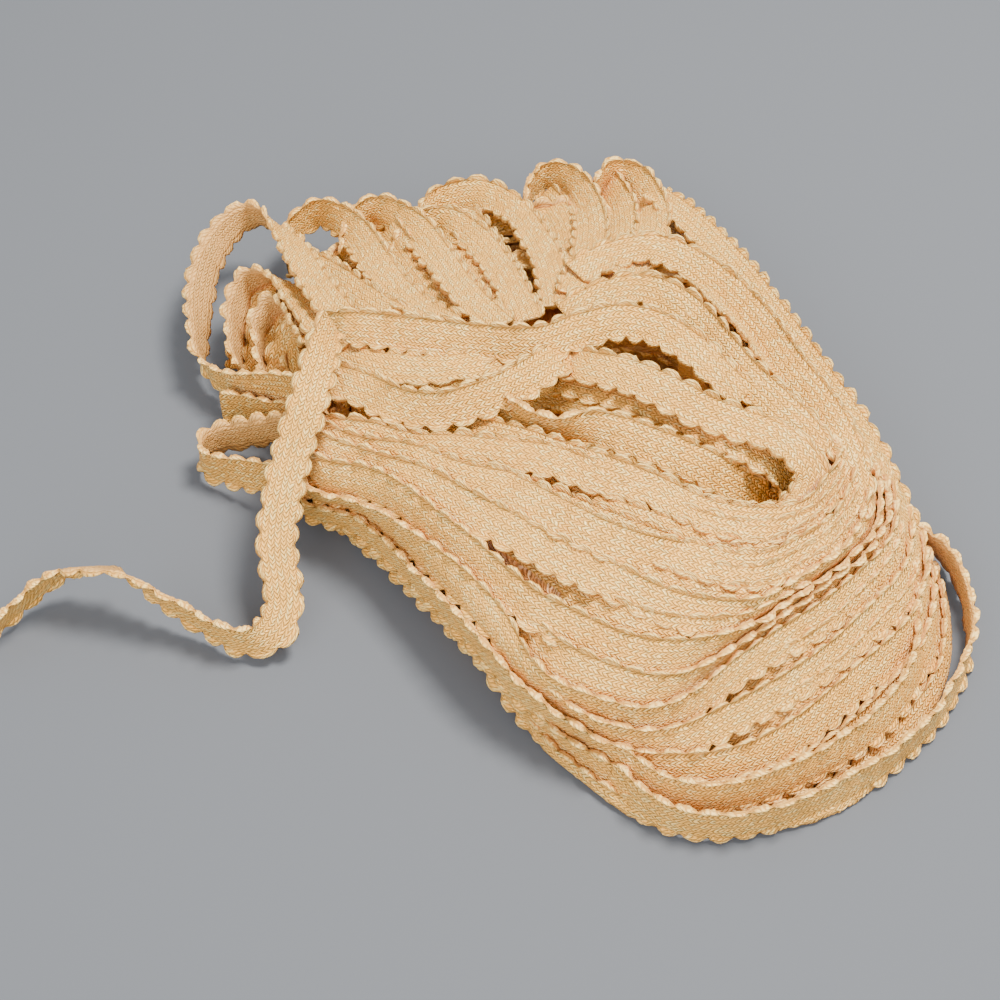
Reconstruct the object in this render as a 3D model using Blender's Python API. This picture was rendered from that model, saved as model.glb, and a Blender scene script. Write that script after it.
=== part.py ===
"""Cream gimp braid trim with scalloped edges, wound in a loose hank with one loose end."""

import math
from collections import namedtuple

import bmesh
import bpy
from mathutils import Vector

# Braid: a flat gimp sold as 10 mm wide, measured over its scallops
BRAID_WIDTH = 0.0102
BRAID_THICKNESS = 0.0015

# Photo geometry: where the eye stood, and the scale of one photo position
EYE_ELEVATION = math.radians(52.0)
EYE_DISTANCE = 0.450
FOCAL_LENGTH = 1866.0
PHOTO_MIDDLE = 500.0
TABLE_SHIFT = Vector((0.00505, -0.00660, 0.0))

# Wound body: points round the ring, and how the turns step down its slope
RING_POINTS = 58
TURNS_BETWEEN_GUIDES = (2, 1, 2, 2, 3)
CREVICE_DEPTH = 0.0022
INNER_WALL_DROP = 0.009
INNER_WALL_INSET = 0.004
FLOOR_HEIGHT = 0.021
FLOOR_INSET = 0.0045

# The most of the way to the turn above that a top edge and the dip behind it may take up
LEDGE_SHARE = 0.45
DIP_SHARE = 0.6
DIP_REACH = 2.0 * BRAID_THICKNESS
DIP_INWARDS = 0.3 * CREVICE_DEPTH

# Spacing along a swept ribbon: longest step, widest turn in one step, how much a twist
# counts beside a turn, samples between rows, and the fewest stations
LONGEST_STEP = 0.0120
WIDEST_TURN = math.radians(28.0)
TWIST_WEIGHT = 0.3
FINE_STEPS = 24
FEWEST_STATIONS = 4

# Edges shorter than this are closed up after the turns are united
SLIVER_SIZE = 0.000001

# A length too short to divide by
TINY = 1e-6

# One section through the wound body, from the inner crest down to the table, each as a
# place in the photo (px, py) and its height above the table in millimetres
Section = namedtuple("Section", "crest brow fold cheek hem foot")

# A ribbon's centre line; lean is the angle of its face above upright, in degrees
Bend = namedtuple("Bend", "px py mm lean")

# The sections go round the hank: near side to the right, round the end, and back
WOUND_SECTIONS = [
    Section((330, 408, 29), (322, 428, 28), (316, 447, 26), (308, 478, 20), (304, 498, 10), (300, 514, 0)),
    Section((385, 420, 32), (378, 445, 31), (368, 462, 29), (356, 498, 23), (350, 525, 12), (345, 544, 0)),
    Section((445, 428, 35), (432, 466, 34), (418, 489, 32), (402, 518, 26), (390, 560, 14), (384, 584, 0)),
    Section((545, 440, 38), (535, 517, 36), (520, 568, 32), (497, 592, 28), (474, 655, 16), (466, 673, 0)),
    Section((600, 456, 38), (592, 547, 35), (575, 602, 31), (545, 665, 23), (525, 698, 15), (512, 729, 0)),
    Section((655, 470, 37), (646, 574, 34), (640, 628, 29), (608, 695, 22), (590, 739, 13), (566, 773, 0)),
    Section((715, 494, 36), (703, 590, 32), (700, 635, 28), (668, 699, 20), (655, 748, 12), (642, 826, 0)),
    Section((765, 502, 35), (760, 592, 31), (757, 618, 27), (745, 646, 22), (730, 742, 13), (735, 837, 0)),
    Section((806, 492, 34), (811, 563, 30), (815, 580, 27), (812, 600, 23), (810, 700, 13), (825, 822, 0)),
    Section((828, 470, 33), (838, 548, 30), (848, 556, 27), (858, 565, 23), (872, 645, 14), (893, 770, 0)),
    Section((835, 455, 32), (860, 512, 29), (872, 522, 26), (886, 535, 22), (912, 600, 14), (945, 690, 0)),
    Section((838, 443, 31), (865, 480, 28), (878, 490, 25), (893, 502, 21), (925, 545, 13), (948, 610, 0)),
    Section((822, 427, 31), (852, 448, 28), (868, 455, 24), (882, 466, 20), (903, 505, 12), (923, 560, 0)),
    Section((790, 412, 31), (822, 405, 27), (838, 412, 23), (848, 425, 19), (860, 455, 11), (870, 492, 0)),
    Section((745, 380, 32), (780, 355, 27), (793, 362, 23), (802, 378, 18), (811, 405, 11), (818, 440, 0)),
    Section((705, 335, 32), (738, 300, 27), (750, 307, 22), (757, 325, 17), (764, 352, 10), (770, 385, 0)),
    Section((655, 300, 31), (690, 240, 25), (700, 250, 20), (708, 268, 16), (714, 295, 9), (720, 325, 0)),
    Section((590, 290, 30), (625, 210, 22), (636, 205, 18), (644, 215, 14), (652, 232, 8), (658, 255, 0)),
    Section((530, 285, 29), (550, 215, 21), (558, 203, 17), (563, 202, 13), (568, 208, 8), (574, 222, 0)),
    Section((470, 275, 28), (470, 225, 20), (470, 215, 16), (470, 213, 12), (470, 215, 7), (470, 225, 0)),
    Section((410, 275, 27), (385, 235, 19), (378, 228, 16), (374, 226, 12), (372, 230, 7), (370, 240, 0)),
    Section((350, 295, 27), (322, 275, 20), (315, 270, 16), (310, 271, 12), (306, 276, 7), (303, 286, 0)),
    Section((320, 335, 28), (296, 333, 22), (289, 337, 18), (284, 342, 13), (281, 350, 7), (279, 362, 0)),
    Section((318, 372, 29), (303, 390, 23), (299, 400, 19), (295, 410, 14), (292, 420, 8), (290, 432, 0)),
]

# Turns that stand clear of the wound body, from the inside of the hank outwards
INNER_TURNS = {
    "inner_upper": [
        Bend(548, 358, 29, 60), Bend(585, 366, 36, 64), Bend(625, 374, 39, 64), Bend(665, 391, 40, 62),
        Bend(702, 410, 38, 64), Bend(740, 424, 36, 70), Bend(775, 437, 34, 80), Bend(801, 456, 33, 90),
        Bend(812, 484, 33, 100), Bend(795, 512, 34, 110), Bend(755, 524, 35, 115), Bend(705, 514, 36, 118),
        Bend(655, 492, 37, 118), Bend(608, 474, 37, 116), Bend(560, 458, 36.5, 112),
        Bend(515, 442, 35, 106), Bend(470, 432, 31, 100),
    ],
    "inner_lower": [
        Bend(492, 402, 31, 40), Bend(526, 420, 35, 4), Bend(556, 428, 36.5, -4), Bend(590, 427, 37, 30),
        Bend(622, 434, 37.5, 54), Bend(655, 446, 36, 58), Bend(695, 462, 33, 55), Bend(728, 478, 28, 50),
        Bend(752, 488, 22, 45),
    ],
}

FAR_TURNS = {
    "far_narrow": [
        Bend(822, 462, 30, 90), Bend(800, 430, 32, 96), Bend(765, 400, 33, 102), Bend(735, 374, 34, 108),
        Bend(708, 342, 34, 110), Bend(676, 310, 34, 106), Bend(640, 295, 33, 100), Bend(600, 300, 31, 95),
        Bend(565, 318, 29, 92),
    ],
    "far_wide": [
        Bend(440, 458, 29, 72), Bend(485, 478, 34, 70), Bend(535, 503, 36.5, 68), Bend(588, 531, 36.5, 66),
        Bend(645, 552, 36, 62),
        Bend(705, 562, 35, 58), Bend(755, 562, 34, 55), Bend(800, 551, 33.5, 55), Bend(835, 530, 33, 58),
        Bend(854, 498, 32, 66), Bend(849, 456, 32, 80),
        Bend(818, 415, 32, 95), Bend(780, 372, 32, 100), Bend(745, 327, 31, 103), Bend(705, 288, 30, 105),
        Bend(660, 258, 29, 100), Bend(615, 262, 28, 96), Bend(575, 280, 28, 92),
    ],
    "far_outer": [
        Bend(560, 706, 8, 30), Bend(590, 736, 8, 26), Bend(625, 766, 8, 22), Bend(665, 790, 8, 20),
        Bend(715, 797, 8.5, 18), Bend(775, 782, 9, 18), Bend(830, 756, 9.5, 18), Bend(876, 724, 10, 20),
        Bend(908, 684, 11, 22), Bend(924, 630, 13, 26), Bend(920, 570, 17, 36),
        Bend(902, 508, 22, 54), Bend(868, 445, 25, 72), Bend(826, 388, 25.5, 86), Bend(780, 325, 25, 95),
        Bend(735, 268, 23, 95), Bend(692, 222, 20, 92), Bend(655, 192, 16, 80),
    ],
}

TIE_TURNS = {
    "tie_upper": [
        Bend(322, 330, 30, 50), Bend(360, 328, 34, 45), Bend(420, 334, 36, 42), Bend(480, 341, 37, 40),
        Bend(540, 343, 38, 42), Bend(580, 330, 38, 48), Bend(620, 321, 38, 54), Bend(655, 327, 37, 64),
        Bend(688, 346, 36, 76), Bend(718, 373, 34, 86), Bend(744, 398, 31, 92),
    ],
    "tie_under": [
        Bend(332, 350, 27, 66), Bend(368, 364, 30.5, 76), Bend(420, 370, 33, 82), Bend(472, 366, 34, 84),
        Bend(528, 352, 33, 80),
    ],
    "tie_lower": [
        Bend(330, 378, 29, 70), Bend(365, 390, 32, 60), Bend(400, 405, 35, 45), Bend(440, 409, 37, 40),
        Bend(480, 399, 38, 42), Bend(515, 384, 38, 48), Bend(548, 368, 37, 60),
    ],
}

LEFT_TURNS = {
    "standing_loop": [
        Bend(345, 392, 27, 30), Bend(305, 391, 22, 15), Bend(262, 386, 15, 0), Bend(226, 381, 10, -5),
        Bend(206, 368, 9, 0), Bend(199, 345, 11, 12), Bend(200, 300, 14, 32), Bend(209, 258, 17, 38),
        Bend(228, 228, 18, 32), Bend(256, 215, 19, 30), Bend(284, 232, 21, 44), Bend(306, 268, 25, 74),
        Bend(328, 300, 28, 86), Bend(350, 325, 30, 88),
    ],
    "second_loop": [
        Bend(240, 372, 9, 10), Bend(236, 340, 11, 16), Bend(237, 308, 13, 22), Bend(249, 282, 15, 24),
        Bend(272, 277, 18, 34), Bend(296, 296, 22, 56), Bend(318, 324, 26, 76), Bend(342, 345, 29, 75),
    ],
    "third_loop": [
        Bend(266, 378, 9, 8), Bend(260, 345, 11, 10), Bend(264, 318, 14, 14), Bend(280, 306, 17, 22),
        Bend(300, 318, 21, 42), Bend(318, 342, 25, 60),
    ],
    "upper_under": [
        Bend(222, 405, 7, 10), Bend(250, 409, 8, 10), Bend(285, 418, 12, 15), Bend(320, 425, 18, 25),
    ],
    "lower_fold": [
        Bend(330, 430, 22, 10), Bend(285, 428, 13, 0), Bend(240, 434, 8, -5), Bend(213, 441, 7, -5),
        Bend(202, 455, 7, 0), Bend(214, 468, 7, 8), Bend(250, 474, 9, 14), Bend(300, 484, 14, 28),
    ],
}

FAN_TURNS = {
    "fan_first": [
        Bend(288, 264, 9, 6), Bend(292, 232, 11, 8), Bend(318, 213, 13, 14), Bend(352, 228, 17, 40),
        Bend(380, 268, 23, 84), Bend(410, 302, 27, 92), Bend(450, 325, 31, 90),
    ],
    "fan_inner": [
        Bend(300, 262, 13, 60), Bend(330, 276, 19, 74), Bend(366, 300, 25, 82), Bend(405, 322, 28, 84),
        Bend(450, 336, 30, 80),
    ],
    "fan_second": [
        Bend(342, 262, 10, 8), Bend(347, 230, 12, 10), Bend(374, 211, 14, 20), Bend(410, 224, 18, 48),
        Bend(440, 260, 23, 88), Bend(468, 296, 28, 92), Bend(500, 326, 32, 88),
    ],
    "fan_third": [
        Bend(420, 236, 8, 20), Bend(438, 204, 9, 30), Bend(480, 194, 12, 62), Bend(520, 216, 16, 90),
        Bend(548, 262, 22, 95), Bend(558, 306, 28, 88),
    ],
    "fan_fourth": [
        Bend(392, 268, 11, 12), Bend(408, 236, 13, 20), Bend(446, 222, 17, 50), Bend(484, 248, 22, 84),
        Bend(510, 286, 28, 94), Bend(526, 320, 31, 88),
    ],
    "fan_fifth": [
        Bend(440, 244, 16, 70), Bend(462, 262, 21, 86), Bend(484, 288, 26, 90), Bend(508, 320, 30, 86),
    ],
    "top_loop_left": [
        Bend(530, 240, 8, 4), Bend(525, 204, 9, 4), Bend(543, 177, 10, 8), Bend(573, 182, 13, 30),
        Bend(590, 214, 17, 66), Bend(588, 254, 22, 90), Bend(574, 294, 28, 92),
    ],
    "top_loop_right": [
        Bend(598, 238, 8, 4), Bend(592, 202, 9, 5), Bend(609, 175, 11, 10), Bend(637, 180, 13, 30),
        Bend(653, 208, 17, 64), Bend(649, 242, 22, 90), Bend(626, 276, 27, 92),
    ],
}

OUTER_TURNS = {
    "slack_turn": [
        Bend(610, 775, 5.3, 20), Bend(640, 801, 5.3, 16), Bend(690, 823, 5.3, 12), Bend(740, 824, 5.3, 10),
        Bend(792, 811, 5.3, 10), Bend(855, 783, 5.3, 10), Bend(905, 748, 5.3, 10), Bend(942, 708, 5.3, 8),
        Bend(964, 664, 5.3, 6), Bend(970, 620, 5.5, 4), Bend(960, 580, 6, 4), Bend(940, 550, 7, 8),
        Bend(908, 528, 9, 18),
    ],
}

LOOSE_END = [
    Bend(-22, 646, 7, -10), Bend(8, 614, 7.5, -14), Bend(36, 590, 9, -22), Bend(64, 573, 12, -30),
    Bend(100, 568, 15, -36), Bend(133, 579, 14, -22), Bend(163, 599, 11, -10), Bend(194, 618, 8, -4),
    Bend(226, 636, 6.8, 0), Bend(254, 641, 6.6, 14), Bend(274, 630, 8, 45), Bend(283, 606, 10, 68),
    Bend(281, 580, 13, 76), Bend(277, 545, 17, 80), Bend(281, 505, 21.5, 82), Bend(292, 455, 27.2, 82),
    Bend(305, 412, 32.2, 80), Bend(316, 372, 35.6, 74), Bend(324, 342, 36.8, 64), Bend(331, 322, 36.6, 58),
]


def named_material(name, colour, roughness):
    """A plain Principled material with one colour."""
    material = bpy.data.materials.new(name)
    material.use_nodes = True
    shader = material.node_tree.nodes["Principled BSDF"]
    shader.inputs["Base Color"].default_value = (*colour, 1.0)
    shader.inputs["Roughness"].default_value = roughness
    shader.inputs["Metallic"].default_value = 0.0
    return material


def place(px, py, mm):
    """The point in space that is seen at a photo position, at a known height above the table."""
    towards = Vector((0.0, math.cos(EYE_ELEVATION), -math.sin(EYE_ELEVATION)))
    upwards = Vector((0.0, math.sin(EYE_ELEVATION), math.cos(EYE_ELEVATION)))
    eye = towards * -EYE_DISTANCE
    ray = towards * FOCAL_LENGTH + upwards * (PHOTO_MIDDLE - py)
    ray.x = px - PHOTO_MIDDLE
    reach = (mm / 1000.0 - eye.z) / ray.z
    return eye + ray * reach + TABLE_SHIFT


def blend(before, start, end, after, t):
    """Smooth curve through four values (Catmull-Rom), from start at 0 to end at 1."""
    return (
        start
        + (end - before) * (0.5 * t)
        + (before * 2.0 - start * 5.0 + end * 4.0 - after) * (0.5 * t * t)
        + (start * 3.0 - before - end * 3.0 + after) * (0.5 * t * t * t)
    )


def smooth_line(points, leans):
    """Points and leans along a smooth line, spaced closer where it bends or twists more."""
    last = len(points) - 1
    fine = []
    for span in range(last):
        picks = [min(max(span + shift, 0), last) for shift in (-1, 0, 1, 2)]
        for step in range(FINE_STEPS):
            t = step / FINE_STEPS
            point = blend(*[points[pick] for pick in picks], t)
            lean = blend(*[leans[pick] for pick in picks], t)
            fine.append((point, lean))
    fine.append((points[last], leans[last]))
    effort = [0.0]
    for index in range(1, len(fine)):
        step = fine[index][0] - fine[index - 1][0]
        following = fine[min(index + 1, len(fine) - 1)][0] - fine[index][0]
        turned = step.angle(following, 0.0)
        twisted = TWIST_WEIGHT * abs(fine[index][1] - fine[index - 1][1])
        effort.append(effort[-1] + step.length / LONGEST_STEP + (turned + twisted) / WIDEST_TURN)
    count = max(FEWEST_STATIONS, math.ceil(effort[-1]) + 1)
    line = []
    index = 0
    for number in range(count):
        wanted = effort[-1] * number / (count - 1)
        while index < len(fine) - 2 and effort[index + 1] < wanted:
            index += 1
        part = (wanted - effort[index]) / max(effort[index + 1] - effort[index], TINY)
        point = fine[index][0].lerp(fine[index + 1][0], part)
        lean = fine[index][1] + (fine[index + 1][1] - fine[index][1]) * part
        line.append((point, lean))
    return line


def mesh_object(name, bm):
    """A new object from a bmesh, with its faces turned outwards."""
    bmesh.ops.recalc_face_normals(bm, faces=bm.faces)
    mesh = bpy.data.meshes.new(name)
    bm.to_mesh(mesh)
    bm.free()
    made = bpy.data.objects.new(name, mesh)
    bpy.context.scene.collection.objects.link(made)
    return made


def join_rings(bm, rings, closed):
    """Faces between each ring of points and the next; closed joins the last point to the first."""
    for lower, upper in zip(rings, rings[1:]):
        count = len(lower)
        for index in range(count if closed else count - 1):
            following = (index + 1) % count
            bm.faces.new((lower[index], lower[following], upper[following], upper[index]))


def wound_rings():
    """Rings of points that step down the hank's slope, one tooth for each turn that shows."""
    guides = []
    for guide in Section._fields:
        points = [place(*getattr(section, guide)) for section in WOUND_SECTIONS]
        guides.append(points)
    smooth = []
    total = len(WOUND_SECTIONS)
    for number in range(RING_POINTS):
        position = number * total / RING_POINTS
        span = int(position)
        t = position - span
        picks = [(span + shift) % total for shift in (-1, 0, 1, 2)]
        smooth.append([blend(*[points[pick] for pick in picks], t) for points in guides])
    levels = []
    for upper, turns in enumerate(TURNS_BETWEEN_GUIDES):
        for turn in range(turns):
            levels.append((upper, turn / turns))
    crests = []
    for upper, part in levels:
        crests.append([section[upper].lerp(section[upper + 1], part) for section in smooth])
    feet = [section[-1] for section in smooth]
    return crests, feet


def outward_at(ring, index):
    """Level direction square to a ring of points, away from its inside."""
    ahead = ring[(index + 1) % len(ring)] - ring[index - 1]
    return Vector((ahead.y, -ahead.x, 0.0)).normalized()


def wound_body():
    """The wound turns as one closed body: stepped outer slope, crest, inner wall and floor."""
    crests, feet = wound_rings()
    bm = bmesh.new()
    rings = []
    count = len(feet)
    inner = []
    floor = []
    for index in range(count):
        inwards = outward_at(crests[0], index) * -1.0
        top = crests[0][index]
        inner.append(top + inwards * INNER_WALL_INSET + Vector((0.0, 0.0, -INNER_WALL_DROP)))
        low = top + inwards * FLOOR_INSET
        floor.append(Vector((low.x, low.y, FLOOR_HEIGHT)))
    rings.append([bm.verts.new(point) for point in floor])
    rings.append([bm.verts.new(point) for point in inner])
    lip = [top - outward_at(crests[0], index) * BRAID_THICKNESS for index, top in enumerate(crests[0])]
    rings.append([bm.verts.new(point) for point in lip])
    rings.append([bm.verts.new(point) for point in crests[0]])
    for level in range(1, len(crests)):
        crevice = []
        ledge = []
        for index in range(count):
            top = crests[level][index]
            outwards = outward_at(crests[level], index)
            above = crests[level - 1][index]
            apart = max((above - top).length, TINY)
            ledge.append(top.lerp(above, min(BRAID_THICKNESS / apart, LEDGE_SHARE)))
            dip = top.lerp(above, min(DIP_REACH / apart, DIP_SHARE))
            crevice.append(dip - Vector((0.0, 0.0, CREVICE_DEPTH)) - outwards * DIP_INWARDS)
        rings.append([bm.verts.new(point) for point in crevice])
        rings.append([bm.verts.new(point) for point in ledge])
        rings.append([bm.verts.new(point) for point in crests[level]])
    rings.append([bm.verts.new(point) for point in feet])
    join_rings(bm, rings, True)
    bm.faces.new(list(reversed(rings[0])))
    bm.faces.new(rings[-1])
    return mesh_object("wound_body", bm)


def ribbon(name, rows):
    """A flat braid swept along the centre line of its rows, turned to the rows' lean."""
    points = [place(row.px, row.py, row.mm) for row in rows]
    leans = [math.radians(row.lean) for row in rows]
    line = smooth_line(points, leans)
    count = len(line)
    bm = bmesh.new()
    rings = []
    for index, (point, lean) in enumerate(line):
        ahead = line[min(index + 1, count - 1)][0] - line[max(index - 1, 0)][0]
        along = ahead.normalized()
        side = along.cross(Vector((0.0, 0.0, 1.0))).normalized()
        over = side.cross(along).normalized()
        face = side * math.cos(lean) + over * math.sin(lean)
        across = over * math.cos(lean) - side * math.sin(lean)
        half_width = across * (0.5 * BRAID_WIDTH)
        half_thick = face * (0.5 * BRAID_THICKNESS)
        corners = (
            point - half_width - half_thick,
            point + half_width - half_thick,
            point + half_width + half_thick,
            point - half_width + half_thick,
        )
        rings.append([bm.verts.new(corner) for corner in corners])
    join_rings(bm, rings, True)
    bm.faces.new(rings[0])
    bm.faces.new(list(reversed(rings[-1])))
    return mesh_object(name, bm)


def closed_volume(mesh):
    """Volume inside a mesh, or zero where it isn't closed."""
    bm = bmesh.new()
    bm.from_mesh(mesh)
    volume = bm.calc_volume() if all(edge.is_manifold for edge in bm.edges) else 0.0
    bm.free()
    return volume


def united(body, extras):
    """The body with every extra solid united to it, as one plain mesh."""
    for extra in extras:
        extra.hide_render = True
        extra.display_type = "WIRE"
        union = body.modifiers.new("join " + extra.name, "BOOLEAN")
        union.operation = "UNION"
        union.object = extra
        volume = closed_volume(body.data)
        for solver in ("EXACT", "MANIFOLD"):
            union.solver = solver
            bpy.context.view_layer.update()
            graph = bpy.context.evaluated_depsgraph_get()
            joined = bpy.data.meshes.new_from_object(body.evaluated_get(graph))
            if closed_volume(joined) > volume:
                break
        body.modifiers.clear()
        body.data = joined
        bpy.data.objects.remove(extra)
    return body


def keep_outer_shell(mesh):
    """Drops the closed pockets left inside a united mesh, so that they count as wound solid."""
    bm = bmesh.new()
    bm.from_mesh(mesh)
    bmesh.ops.remove_doubles(bm, verts=bm.verts, dist=SLIVER_SIZE)
    bmesh.ops.triangulate(bm, faces=bm.faces)
    unseen = set(bm.faces)
    shells = []
    while unseen:
        start = unseen.pop()
        shell = [start]
        for face in shell:
            for edge in face.edges:
                for other in edge.link_faces:
                    if edge.is_manifold and other in unseen:
                        unseen.remove(other)
                        shell.append(other)
        shells.append(shell)
    shells.sort(key=len)
    for shell in shells[:-1]:
        bmesh.ops.delete(bm, geom=shell, context="FACES")
    bm.to_mesh(mesh)
    bm.free()


def build_hank():
    """The hank: the wound body and every turn that stands clear of it, in one solid."""
    body = wound_body()
    extras = []
    for group in (INNER_TURNS, FAR_TURNS, TIE_TURNS, LEFT_TURNS, FAN_TURNS, OUTER_TURNS):
        for name, rows in group.items():
            extras.append(ribbon(name, rows))
    hank = united(body, extras)
    keep_outer_shell(hank.data)
    hank.name = "hank"
    hank.data.name = "hank"
    return hank


def main():
    for old in list(bpy.data.objects):
        bpy.data.objects.remove(old)
    hank = build_hank()
    hank.data.materials.clear()
    hank.data.materials.append(named_material("braid_cream", (0.86, 0.68, 0.47), 0.75))
    loose = ribbon("loose_end", LOOSE_END)
    loose.data.materials.append(named_material("braid_cream_end", (0.86, 0.68, 0.47), 0.75))


main()
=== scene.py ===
"""Dressed view of the braid trim: every turn that shows as a scalloped, stitched gimp braid."""

import math

import bpy
import numpy as np
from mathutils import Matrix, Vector


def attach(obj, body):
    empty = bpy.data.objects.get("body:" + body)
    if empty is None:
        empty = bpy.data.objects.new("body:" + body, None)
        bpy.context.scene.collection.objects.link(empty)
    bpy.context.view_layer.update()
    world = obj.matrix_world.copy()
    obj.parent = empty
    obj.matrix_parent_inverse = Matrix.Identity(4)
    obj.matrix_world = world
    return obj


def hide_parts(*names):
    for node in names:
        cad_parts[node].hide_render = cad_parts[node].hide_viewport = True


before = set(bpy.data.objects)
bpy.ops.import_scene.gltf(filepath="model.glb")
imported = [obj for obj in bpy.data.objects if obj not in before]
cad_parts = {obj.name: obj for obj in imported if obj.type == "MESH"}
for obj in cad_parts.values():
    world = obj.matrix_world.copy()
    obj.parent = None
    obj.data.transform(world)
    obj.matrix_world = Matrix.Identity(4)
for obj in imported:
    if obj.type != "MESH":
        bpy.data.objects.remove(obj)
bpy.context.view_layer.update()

# Braid: width over the scallops, the stitched rows inside them, and the scallops of both edges, with
# the stations along one scallop and the share of the pitch from its middle to its notch
BRAID_WIDTH = 0.0102
HALF_WIDTH = 0.5 * BRAID_WIDTH
ROWS_HALF_WIDTH = 0.0036
SCALLOP_PITCH = 0.0053
SCALLOP_DEPTH = 0.0013
STEPS_PER_SCALLOP = 8
SCALLOP_SHARE = 0.41

# Braid section. Columns: share of the stitched rows' half width, share of the scallop beyond them,
# height off the middle surface in mm, and how much of that height comes and goes with the scallop
FRONT = [
    (1.0, 1.00, 0.00, 0.0), (1.0, 0.90, 0.90, 0.7), (1.0, 0.58, 1.15, 0.7), (1.0, 0.22, 0.72, 0.4),
    (1.0, 0.00, 0.24, 0.0), (0.8, 0.0, 0.52, 0.0), (0.6, 0.0, 0.42, 0.0),
    (0.4, 0.0, 0.54, 0.0), (0.2, 0.0, 0.44, 0.0), (0.0, 0.0, 0.54, 0.0),
]
BACK = [
    (-1.0, -0.90, -0.55, 0.5), (-0.6, 0.0, -0.42, 0.0), (0.6, 0.0, -0.42, 0.0), (1.0, 0.90, -0.55, 0.5),
]
FRONT_MIRRORED = [(-body, -edge, height, pulse) for body, edge, height, pulse in FRONT[-2::-1]]
SECTION = np.array(FRONT + FRONT_MIRRORED + BACK)
FRONT_POINTS = len(SECTION) - len(BACK)

# Hand work: the least and most size of a scallop, how far its tip is bent off the braid's surface by
# chance and on every turn, and how uneven the rows are, and the scallops beyond them
SCALLOP_SIZES = (0.75, 1.15)
TIP_BENDS = (-0.0005, 0.0007)
WOUND_FLARE = 0.0005
RIBBON_FLARE = 0.0002
ROWS_UNEVEN = 0.00005
EDGE_UNEVEN = 0.00006

# Wandering of a braid off its path, in a ribbon's lean in radians and its place, and in the place of
# a wound turn's top edge. Columns: size, and the slowest and fastest wave along the braid
RIBBON_TWIST = (0.10, 2, 5)
RIBBON_STRAY = (0.0003, 3, 8)
TURN_STRAY_DOWN = (0.0007, 4, 16)
TURN_STRAY_OUT = (0.0004, 4, 14)

# Wound turns lie one layer on another, bend softly over their neighbours, and stop above the table
LAYER_SPACING = 0.0014
BEND_REACH = 0.0012
TABLE_CLEARANCE = 0.0009
LOWEST_POINT = 0.00005

# Stitches: how many rows and the width of half a row, the pitch of a stitch, its slant across half a
# row, the step from row to row, how fast it rounds off across the row and along it, and its tilt
ROWS = 5
HALF_ROW = ROWS_HALF_WIDTH / ROWS
STITCH_PITCH = 0.00110
STITCH_SLANT = 0.85
STITCH_STAGGER = 0.43
STITCH_ROUNDING = (1.3, 4.0)
STITCH_TILT = 1.4

# Scallop cords: the pitch of their wraps, the wraps' slant, how fast a wrap rounds off, and how many
# strands lie side by side
WRAP_PITCH = 0.00130
WRAP_SLANT = 2.2
WRAP_ROUNDING = 3.9
STRANDS = 1.8

# Relief: noise that leads the stitches astray and how far, fine fibres and their share, and its depth
STRAY_NOISE = 650.0
STRAY_REACH = 0.0007
FIBRE_NOISE = 2600.0
FIBRE_SHARE = 0.25
BUMP_DISTANCE = 0.00048

# Gloss: roughness between the strands and on them, its spread by chance, and the tint of highlights
ROUGHNESS = (0.70, 0.34)
ROUGHNESS_SPREAD = 0.15
SPECULAR_LEVEL = 0.6
SPECULAR_TINT = (1.0, 0.85, 0.60)

# Colour patches along the braid, how far away a neighbour shelters the yarn from light, and the share
# of open sky at which the painted shade tint is full and at which it is gone
PATCH_NOISE = 70.0
SHELTER_REACH = 0.005
SHELTER_SAMPLES = 4
SHELTER_SKY = (0.15, 0.70)

# Colours of the yarn: of its strands, a painted highlight on full stitches and scallop cords, the
# braid's back darkened as painted shade, painted shade in the lines between stitches and in the notches,
# and two painted-shade tints that colour it where little light gets in
COLOUR_WARM = (0.82, 0.40, 0.07)
COLOUR_CREAM = (0.95, 0.505, 0.10)
COLOUR_PAINTED_HIGHLIGHT = (1.0, 0.69, 0.23)
COLOUR_BACK_PAINTED_SHADE = (0.60, 0.32, 0.10)
COLOUR_PAINTED_GROOVE_SHADE = (0.64, 0.325, 0.07)
COLOUR_PAINTED_CREVICE_SHADE = (1.0, 0.89, 1.1)
COLOUR_SHADE = (1.0, 0.90, 1.3)

# Studio: a grey-blue floor, light from all round, and area lights. Columns of the lights: name, place,
# side, power in watts, colour
FLOOR_SIZE = 12.0
COLOUR_FLOOR = (0.100, 0.113, 0.135)
ROUGHNESS_FLOOR = 0.8
COLOUR_STUDIO = (1.0, 0.97, 0.93)
STUDIO_LIGHT = 1.05
LIGHTS = (
    ("key", (0.26, 0.12, 0.82), 0.25, 18.0, (1.0, 0.93, 0.83)),
    ("fill", (-0.20, -0.70, 0.50), 0.80, 8.0, (1.0, 0.95, 0.90)),
)

# Photo geometry: where the eye stood, and the scale of one photo position
EYE_ELEVATION = math.radians(52.0)
EYE_DISTANCE = 0.450
FOCAL_LENGTH = 1866.0
PHOTO_SIZE = 1000.0
PHOTO_MIDDLE = 0.5 * PHOTO_SIZE
SENSOR_WIDTH = 36.0
TABLE_SHIFT = Vector((0.00505, -0.00660, 0.0))
TOWARDS = Vector((0.0, math.cos(EYE_ELEVATION), -math.sin(EYE_ELEVATION)))
UPWARDS = Vector((0.0, math.sin(EYE_ELEVATION), math.cos(EYE_ELEVATION)))

# Wound body: stations round the packed turns, samples from section to section, the turns between its
# guides, and how many sections a turn takes to come to the surface
HIDDEN_STATIONS = 232
SAMPLES_PER_SPAN = 24
TURNS_BETWEEN_GUIDES = (2, 1, 2, 2, 3)
SECTION_RAMP = 1.5

# Turns between the loops of the fan: rows in the table of one, the part of the loops that they start
# at, and in mm how much lower they lie all along and at that start, and the least height
ROWS_BETWEEN = 9
BETWEEN_START = 0.53
BETWEEN_LOWER_MM = 3.0
BETWEEN_DROP_MM = 2.0
LOWEST_MM = 3.0

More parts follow.
